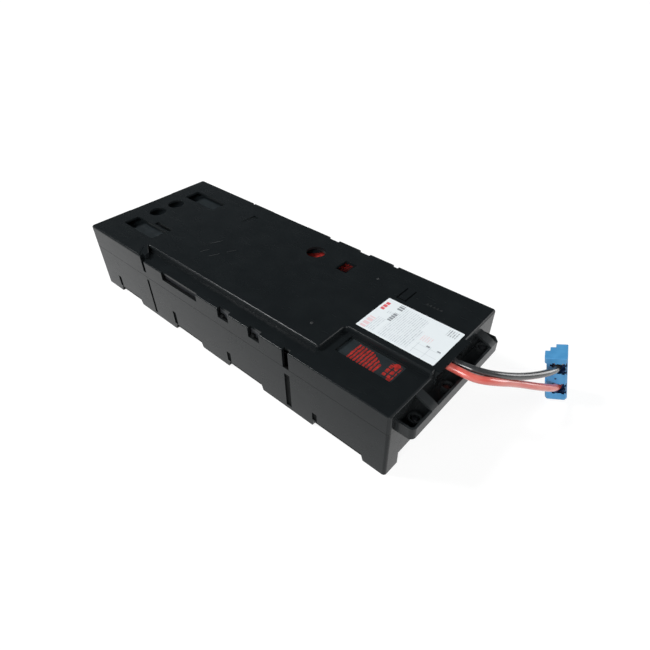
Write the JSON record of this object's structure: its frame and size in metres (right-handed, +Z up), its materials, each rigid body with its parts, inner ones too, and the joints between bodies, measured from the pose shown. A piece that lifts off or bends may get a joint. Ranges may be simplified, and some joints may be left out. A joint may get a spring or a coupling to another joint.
{
  "type": "battery cartridge",
  "caption": "Long black two-part battery case with deck windows, side notches, a pull trough, a rating label and red and black leads to a blue power connector.",
  "frame": {"origin": "under the middle of the case and its pull trough, on the surface it stands on", "axes": "+X along the case towards the cable end, +Y from the ledge side to the far side, +Z up"},
  "size_m": [0.5016, 0.1905, 0.0772],
  "materials": {
    "case_plastic": "fine-grained satin black moulding",
    "block_plastic": "dark grey moulding",
    "tinned_brass": "tinned",
    "print_film": "dark film with red fields",
    "wire_black": "smooth",
    "wire_red": "smooth",
    "fuse_shell": "smooth",
    "foam": "soft closed-cell foam",
    "screw_steel": "zinc plated",
    "label_film": "white film with a fine coloured field",
    "connector_blue": "fine satin",
    "contact_metal": "plated",
    "lead_red": "glossy insulation",
    "lead_black": "glossy insulation"
  },
  "bodies": {
    "root": {"tray": "case_plastic", "cover": "case_plastic", "battery_case_1": "block_plastic", "battery_case_2": "block_plastic", "battery_case_3": "block_plastic", "battery_case_4": "block_plastic", "battery_lid_1": "block_plastic", "battery_lid_2": "block_plastic", "battery_lid_3": "block_plastic", "battery_lid_4": "block_plastic", "battery_terminals_1": "tinned_brass", "battery_terminals_2": "tinned_brass", "battery_terminals_3": "tinned_brass", "battery_terminals_4": "tinned_brass", "battery_print_1": "print_film", "battery_print_2": "print_film", "battery_print_3": "print_film", "battery_print_4": "print_film", "push_on_1": "tinned_brass", "push_on_2": "tinned_brass", "push_on_3": "tinned_brass", "push_on_4": "tinned_brass", "jumper_1_2": "tinned_brass", "jumper_3_4": "tinned_brass", "fuse_lead_2": "wire_black", "fuse_lead_3": "wire_black", "fuse_holder": "fuse_shell", "lead_tail_red": "wire_red", "lead_tail_black": "wire_black", "lead_clamp": "case_plastic", "foam_middle": "foam", "foam_top_1": "foam", "foam_top_2": "foam", "foam_top_3": "foam", "foam_top_4": "foam", "grip_screw_1": "screw_steel", "grip_screw_2": "screw_steel", "grip_screw_3": "screw_steel", "rating_label": "label_film", "connector_housing": "connector_blue", "connector_contact_red": "contact_metal", "connector_contact_black": "contact_metal", "lead_red": "lead_red", "lead_black": "lead_black"}
  },
  "joints": []
}
